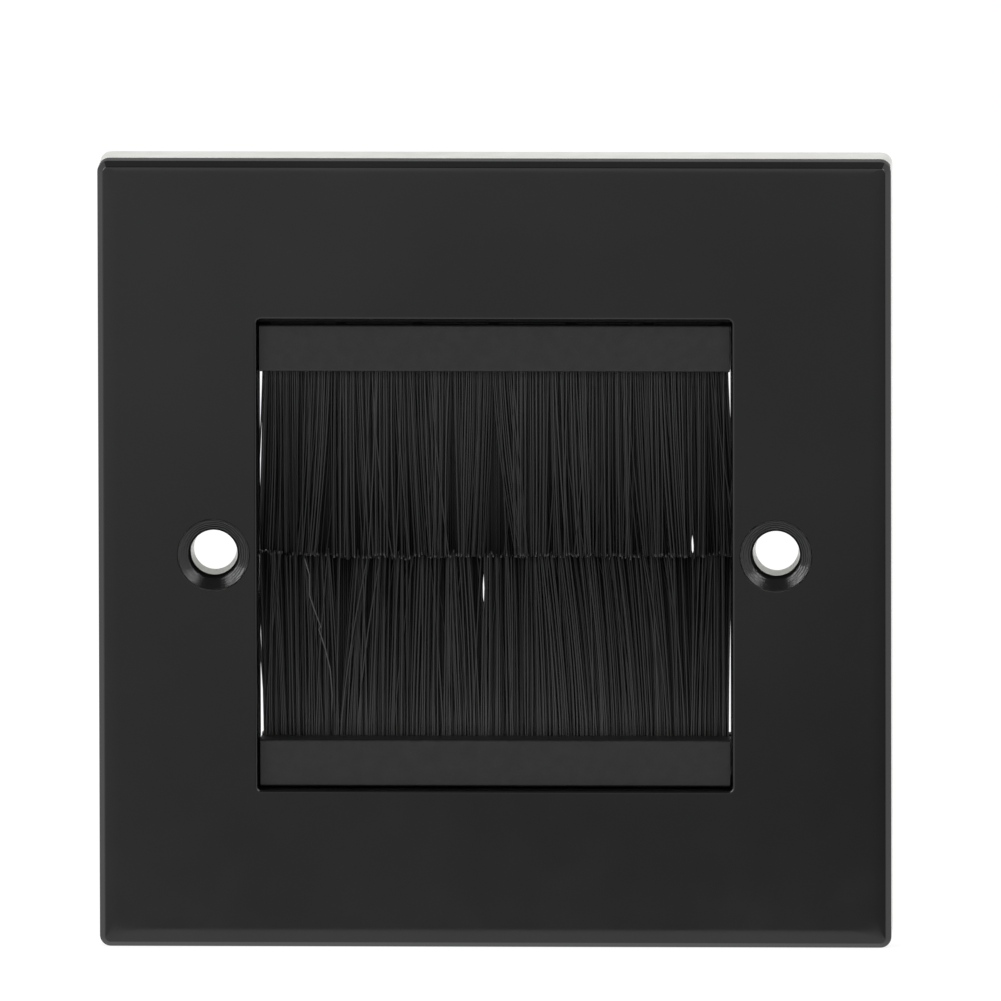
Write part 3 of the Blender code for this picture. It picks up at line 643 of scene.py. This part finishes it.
def hook_tool(side_x, side_z):
    """A leg with a barb that grips behind the rear frame's web."""
    nose = HOOK_GRIP + HOOK_LAND + HOOK_NOSE
    profile = (
        (0, FRONT_WALL - FUSE),
        (HOOK_LEG, FRONT_WALL - FUSE),
        (HOOK_LEG, HOOK_GRIP),
        (HOOK_LEG + HOOK_BARB, HOOK_GRIP),
        (HOOK_LEG + HOOK_BARB, HOOK_GRIP + HOOK_LAND),
        (HOOK_LEG - HOOK_BARB / 2, nose),
        (0, nose),
    )
    rings = []
    for end in (-HOOK_WIDTH / 2, HOOK_WIDTH / 2):
        z = side_z * HOOK_Z + end
        rings.append([(side_x * (HOOK_X + x), cad_low.y + depth, z) for x, depth in profile])
    return loft("hook", rings)


def rib_tools():
    """Stiffening ribs behind the face, from the opening's collar to the skirt."""
    reach = (APERTURE_HALF + APERTURE_COLLAR - FUSE, PLATE_HALF - FRONT_SKIRT + FUSE)
    depth = (FRONT_WALL - FUSE, FRONT_WALL + FRONT_RIB_HEIGHT)
    for side in (-1, 1):
        out = (side * reach[0], side * reach[1])
        for place in (-FRONT_RIB_SPACING / 2, FRONT_RIB_SPACING / 2):
            across = (place - FRONT_RIB / 2, place + FRONT_RIB / 2)
            yield deep_block(across, depth, out)
            yield deep_block(out, depth, across)


def make_front(material, group):
    """The front moulding with finely stepped rounds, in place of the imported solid."""
    front = front_shell()
    behind = (FRONT_WALL - FUSE, FRONT_DEPTH)
    collar_half = APERTURE_HALF + APERTURE_COLLAR
    collar = [square_ring(collar_half, APERTURE_CORNER + APERTURE_COLLAR, depth) for depth in behind]
    steps = [("UNION", loft("collar", collar))]
    for centre_x in (-SCREW_X, SCREW_X):
        boss = [round_ring(centre_x, SCREW_BOSS_RADIUS, depth) for depth in behind]
        steps.append(("UNION", loft("boss", boss)))
    steps += [("UNION", rib) for rib in rib_tools()]
    steps.append(("DIFFERENCE", aperture_tool()))
    steps += [("DIFFERENCE", countersink_tool(centre_x)) for centre_x in (-SCREW_X, SCREW_X)]
    steps += [("UNION", hook_tool(side_x, side_z)) for side_x in (-1, 1) for side_z in (-1, 1)]
    combine(front, steps)
    front.data.materials.clear()
    front.data.materials.append(material)
    soften(front, group)
    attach(front, "root")
    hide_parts("front_plate")


def bundles(draw):
    """Groups of neighbouring filaments of one row, each as its two ends, pull, lean and extra length."""
    edge = -PACK_WIDTH / 2
    found = []
    while edge < PACK_WIDTH / 2:
        width = draw.uniform(BUNDLE_LEAST, BUNDLE_MOST)
        lean = draw.gauss(0, BUNDLE_LEAN)
        found.append((edge, edge + width, draw.uniform(*BUNDLE_PULL), lean, draw.gauss(0, BUNDLE_UNEVEN)))
        edge += width
    return found


def drift_at(x, drift):
    """Upper tips pass in front of the lower ones, and behind them at the left end."""
    passed = min(1, max(0, (CROSSING - x) / CROSSING_WIDTH))
    return drift * (1 - 2 * passed)


def tip_across(x, bundle, draw):
    """Where a filament's tip lies along the strip, from its root, its bundle and chance."""
    low, high, pull, lean, _ = bundle
    middle = (low + high) / 2
    tip = middle + (x - middle) * pull + lean + draw.gauss(0, TIP_JITTER)
    if draw.random() < STRAY_SHARE:
        tip += draw.uniform(-STRAY_LEAN, STRAY_LEAN)
    return tip


def swept(x, sweep):
    """How far a whole stretch of the strip leans at a place along it."""
    most, middle, half = sweep
    return most * MM * math.exp(-((x / MM - middle) / half) ** 2)


def inside_opening(x):
    """A filament's sideways place, kept within reach of the opening's sides."""
    limit = SPLAY_HALF - FILAMENT_RADIUS
    return max(-limit, min(limit, x))


def parted(x, z, facing):
    """Sideways place of a filament once it has made way for the slits."""
    for slit_x, slit_z, long, wide in SLITS:
        off = x - facing * slit_x * MM
        near = math.exp(-((z - facing * slit_z * MM) / (long * MM)) ** SLIT_CURVE)
        if abs(off) < wide * MM:
            x += math.copysign(wide * MM - abs(off), off) * near
    return x


def filament_line(root, tip, bow, facing):
    """Points from a root to a tip, straight at the root and leaning more towards the tip."""
    points = []
    for along in SHARES:
        lean = along ** LEAN_CURVE
        sideways = bow * math.sin(math.pi * along)
        x = root[0] + (tip[0] - root[0]) * lean + sideways
        y = root[1] + (tip[1] - root[1]) * along
        z = root[2] + (tip[2] - root[2]) * along
        points.append((parted(inside_opening(x), z, facing), y, z))
    return points


def filament_tones(tone, fade, draw):
    """Tone at each point of a filament: painted light at the root, painted shade darkening it towards the tip,
    some with a light end.
    """
    # painted shade: each point is darker by its share of the fade towards the tip
    tones = [tone * (1 - fade * share ** FADE_CURVE) for share in SHARES]
    # painted light at the root, where the holder shades the filaments
    for place, lift in enumerate(ROOT_PAINTED_LIGHT):
        tones[place] *= lift
    if draw.random() < LIGHT_CUTS:
        tones[-1] = 1
    return tones


def add_filament(shape, layer, points, tones, radius, turn):
    """A thin tube along points that run down or up, with its tone at each and a flat cut at its tip."""
    rings = []
    for (x, y, z), tone in zip(points, tones):
        ring = []
        for side in range(FILAMENT_SIDES):
            angle = turn + 2 * math.pi * side / FILAMENT_SIDES
            vertex = shape.verts.new((x + radius * math.cos(angle), y + radius * math.sin(angle), z))
            vertex[layer] = tone
            ring.append(vertex)
        rings.append(ring)
    for near, far in zip(rings, rings[1:]):
        for first in range(FILAMENT_SIDES):
            second = (first + 1) % FILAMENT_SIDES
            face = shape.faces.new((near[first], near[second], far[second], far[first]))
            face.smooth = True
    shape.faces.new(rings[0])
    shape.faces.new(rings[-1])


def add_fold(shape, layer, inner):
    """The folded roots, as a U over the core wire, drawn out along the strip."""
    wire = inner + FOLD_HEIGHT
    legs = inner + LEG_END
    turns = [math.pi * step / FOLD_STEPS for step in range(FOLD_STEPS + 1)]
    outer, tunnel = (
        [(-radius * math.cos(turn), wire + radius * math.sin(turn)) for turn in turns]
        for radius in (FOLD_RADIUS, TUNNEL_RADIUS)
    )
    half = PACK_THICKNESS / 2
    gap = TUNNEL_GAP / 2
    section = [(-half, legs), *outer, (half, legs), (gap, legs), *tunnel[::-1], (-gap, legs)]
    loops = [[shape.verts.new((x, y, z)) for y, z in section] for x in (-PACK_WIDTH / 2, PACK_WIDTH / 2)]
    for vertex in loops[0] + loops[1]:
        vertex[layer] = FULL_TONE
    for first in range(len(section)):
        second = (first + 1) % len(section)
        shape.faces.new((loops[0][first], loops[0][second], loops[1][second], loops[1][first]))
    shape.faces.new(loops[0])
    shape.faces.new(loops[1])


def add_kinked(shape, layer):
    """The one bristle of the lower strip that is bent out of line, painted lighter as if lit."""
    points = []
    for step, (x, z) in enumerate(KINKED):
        depth = KINKED_DEPTH[0] + (KINKED_DEPTH[1] - KINKED_DEPTH[0]) * step / (len(KINKED) - 1)
        points.append((-x * MM, depth, -z * MM - BRUSH_SAG))
    # painted light: a lighter tone than the other filaments
    add_filament(shape, layer, points, [KINKED_PAINTED_LIGHT_TONE] * len(points), FRONT_RADIUS, 0)


def make_filaments(name, node, overlap, drift, sweep, turned, seed, material):
    """One strip's filaments, in place of the coarser comb of the solids."""
    draw = random.Random(seed)
    facing = -1 if turned else 1
    shape = bmesh.new()
    layer = shape.verts.layers.float.new("tone")
    inner = MODULE_HALF - HOLDER_HEIGHT
    add_fold(shape, layer, inner)
    group = bundles(draw)
    for row, (darkest, lightest, fade, filled, loose) in enumerate(ROWS):
        for column in range(COLUMNS):
            if draw.random() > filled:
                continue
            place = column + (0.5 + row % 2) * ROW_STAGGER
            x = place * PACK_WIDTH / COLUMNS - PACK_WIDTH / 2
            y = ((row + 0.5) / len(ROWS) - 0.5) * (PACK_THICKNESS - 2 * FILAMENT_RADIUS)
            bundle = next(bundle for bundle in group if x < bundle[1])
            tip_x = tip_across(x, bundle, draw) if loose else x
            tip_x += EDGE_LEAN * (2 * x / PACK_WIDTH) ** EDGE_CURVE + facing * swept(facing * x, sweep)
            tip_y = y * TIP_SPREAD + drift_at(facing * x, drift) + draw.gauss(0, TIP_JITTER)
            tip_z = -overlap - bundle[-1] + draw.gauss(0, TIP_UNEVEN)
            shift = facing * PACK_SHIFT + loose * draw.gauss(0, ROOT_JITTER)
            root = (x + shift, y + draw.gauss(0, ROOT_JITTER), inner + LEG_END)
            bow = loose * draw.gauss(0, TIP_JITTER)
            points = filament_line(root, (tip_x + shift, tip_y, tip_z), bow, facing)
            tones = filament_tones(draw.uniform(darkest, lightest), fade, draw)
            radius = FRONT_RADIUS if loose else FILAMENT_RADIUS
            add_filament(shape, layer, points, tones, radius, draw.uniform(0, math.pi))
    if turned:
        add_kinked(shape, layer)
    piece = built(name, shape)
    piece.data.materials.append(material)
    piece.location = (0, cad_low.y + BRUSH_DEPTH, -BRUSH_SAG)
    piece.rotation_euler = (0, math.pi if turned else 0, 0)
    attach(piece, "root")
    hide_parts(node)


def add_camera():
    """The photograph's view: nearly level, from far off, with the plate a little below the middle."""
    back = direction(CAMERA_AZIMUTH, CAMERA_ELEVATION)
    across = Vector((math.cos(CAMERA_AZIMUTH), math.sin(CAMERA_AZIMUTH), 0))
    up = back.cross(across)
    middle = PHOTO_SIDE / 2
    right_by = (middle - FACE_CENTRE_PIXEL[0]) / PIXELS_PER_METRE
    up_by = (FACE_CENTRE_PIXEL[1] - middle) / PIXELS_PER_METRE
    target = Vector((0, cad_low.y, 0)) + across * right_by + up * up_by
    camera = placed("camera", bpy.data.cameras.new("camera"))
    camera.location = target + back * CAMERA_DISTANCE
    level = (-back).to_track_quat("-Z", "Y")
    camera.rotation_euler = (level @ Quaternion((0, 0, 1), CAMERA_ROLL)).to_euler()
    camera.data.sensor_width = SENSOR
    camera.data.lens = SENSOR * CAMERA_DISTANCE * PIXELS_PER_METRE / PHOTO_SIDE
    camera.data.clip_start, camera.data.clip_end = CLIP_RANGE
    bpy.context.scene.camera = camera


def seen_directly(nodes, links):
    """1 for camera, glossy and transmission rays, and 0 for the rays that light surfaces."""
    rays = nodes.new("ShaderNodeLightPath")
    value = rays.outputs["Is Camera Ray"]
    for other in ("Is Glossy Ray", "Is Transmission Ray"):
        value = calculated(nodes, links, "MAXIMUM", value, rays.outputs[other])
    return value


def mixed(nodes, links, share, first, second, end):
    """Joins two shaders by a share of the second and links them to the end node."""
    mix = nodes.new("ShaderNodeMixShader")
    links.new(share, mix.inputs["Fac"])
    links.new(first.outputs[0], mix.inputs[1])
    links.new(second.outputs[0], mix.inputs[2])
    links.new(mix.outputs["Shader"], nodes[end].inputs["Surface"])


def add_world():
    """Plain grey light all round, which looks white where it is seen or mirrored."""
    world = bpy.data.worlds.new("world")
    world.use_nodes = True
    nodes = world.node_tree.nodes
    links = world.node_tree.links
    light = nodes["Background"]
    white = nodes.new("ShaderNodeBackground")
    for sky, level in ((light, WORLD_LEVEL), (white, 1)):
        sky.inputs["Color"].default_value = (1, 1, 1, 1)
        sky.inputs["Strength"].default_value = level
    mixed(nodes, links, seen_directly(nodes, links), light, white, "World Output")
    bpy.context.scene.world = world


def add_lamp(name, azimuth, elevation, width, height, radiance):
    """A soft box to one side of the object, turned towards it."""
    away = direction(math.radians(azimuth), math.radians(elevation))
    data = bpy.data.lights.new(name, "AREA")
    data.shape = "RECTANGLE"
    data.size = width
    data.size_y = height
    data.energy = radiance * math.pi * width * height
    lamp = placed(name, data)
    lamp.location = away * LAMP_DISTANCE
    lamp.rotation_euler = (-away).to_track_quat("-Z", "Y").to_euler()
    lamp.visible_camera = False


def standing(half, y, bottom, top):
    """Corners of a sheet that stands across the view."""
    return [(-half, y, bottom), (half, y, bottom), (half, y, top), (-half, y, top)]


def lying(half, front, rear, z):
    """Corners of a sheet that lies flat at a height."""
    return [(-half, front, z), (half, front, z), (half, rear, z), (-half, rear, z)]


def flat_sheet(name, corners):
    """A four-cornered sheet of the studio."""
    mesh = bpy.data.meshes.new(name)
    mesh.from_pydata(corners, [], [(0, 1, 2, 3)])
    sheet = placed(name, mesh)
    return sheet


def add_floor():
    """Pale floor that the plate stands on. Seen directly it is white, and it keeps the plate's shadow."""
    half = FLOOR_SIDE / 2
    floor = flat_sheet("floor", lying(half, -half, half, cad_low.z))
    material, nodes, links, shader = new_material("floor")
    shader.inputs["Base Color"].default_value = (FLOOR_COLOUR, FLOOR_COLOUR, FLOOR_COLOUR, 1)
    shader.inputs["Roughness"].default_value = FLOOR_ROUGHNESS
    shader.inputs["Specular IOR Level"].default_value = 0
    white = nodes.new("ShaderNodeEmission")
    white.inputs["Strength"].default_value = FLOOR_WHITE
    share = calculated(nodes, links, "MULTIPLY", seen_directly(nodes, links), 1 - FLOOR_OWN)
    mixed(nodes, links, share, shader, white, "Material Output")
    floor.data.materials.append(material)
    floor.visible_glossy = False


def glow(name, strength):
    """Material of a studio card, as bright as it looks in a reflection."""
    material, nodes, links, shader = new_material(name)
    nodes.remove(shader)
    light = nodes.new("ShaderNodeEmission")
    light.inputs["Strength"].default_value = strength
    links.new(light.outputs["Emission"], nodes["Material Output"].inputs["Surface"])
    return material, nodes, links, light


def add_card(name, corners, material):
    """A card that shows in reflections alone."""
    card = flat_sheet(name, corners)
    card.data.materials.append(material)
    card.visible_camera = False
    card.visible_diffuse = False
    card.visible_shadow = False
    card.visible_transmission = False


def front_glow():
    """Brightness of the front card, which grows with height and towards the left."""
    material, nodes, links, light = glow("front_card", 1)
    place = nodes.new("ShaderNodeTexCoord")
    split = nodes.new("ShaderNodeSeparateXYZ")
    links.new(place.outputs["Object"], split.inputs["Vector"])
    (low, dark), (high, bright) = CARD_DARK, CARD_LIGHT
    fade = ranged(nodes, links, split.outputs["Z"], low, high, dark, bright)
    slope = calculated(nodes, links, "MULTIPLY_ADD", split.outputs["X"], CARD_SLOPE, fade)
    links.new(slope, light.inputs["Strength"])
    return material


def add_cards():
    """Grey cards in front of the object, over it and behind it, which the gloss mirrors."""
    near = cad_low.y - CARD_DISTANCE
    add_card("front_card", standing(CARD_HALF_WIDTH, near, CARD_BOTTOM, CARD_TOP), front_glow())
    for name, front, rear, brightness in CANOPIES:
        corners = lying(CANOPY_HALF_WIDTH, front, rear, CANOPY_HEIGHT)
        add_card(name, corners, glow(name, brightness)[0])
    behind = standing(BACK_HALF_WIDTH, BACK_DISTANCE, BACK_BOTTOM, BACK_TOP)
    add_card("back_card", behind, glow("back_card", BACK_LEVEL)[0])


def dress():
    """Gives every solid its finish and adds the filaments."""
    group = soft_rounds()
    satin = satin_black()
    sheet_metal = drawn_metal("channel_metal", *SHEET_METAL)
    wire_metal = drawn_metal("wire_metal", *WIRE_METAL)
    make_front(gloss_black(), group)
    finish_solid("back_frame", white_plastic(), group)
    for side in ("upper", "lower"):
        finish_solid(f"{side}_brush_holder", satin, group)
        finish_solid(f"{side}_brush_channel", sheet_metal, group)
        finish_solid(f"{side}_core_wire", wire_metal, group)
    filament = filament_black()
    for strip in STRIPS:
        make_filaments(*strip, filament)


dress()
add_camera()
add_world()
for lamp in LAMPS:
    add_lamp(*lamp)
add_floor()
add_cards()
bpy.context.scene.view_settings.view_transform = "Standard"
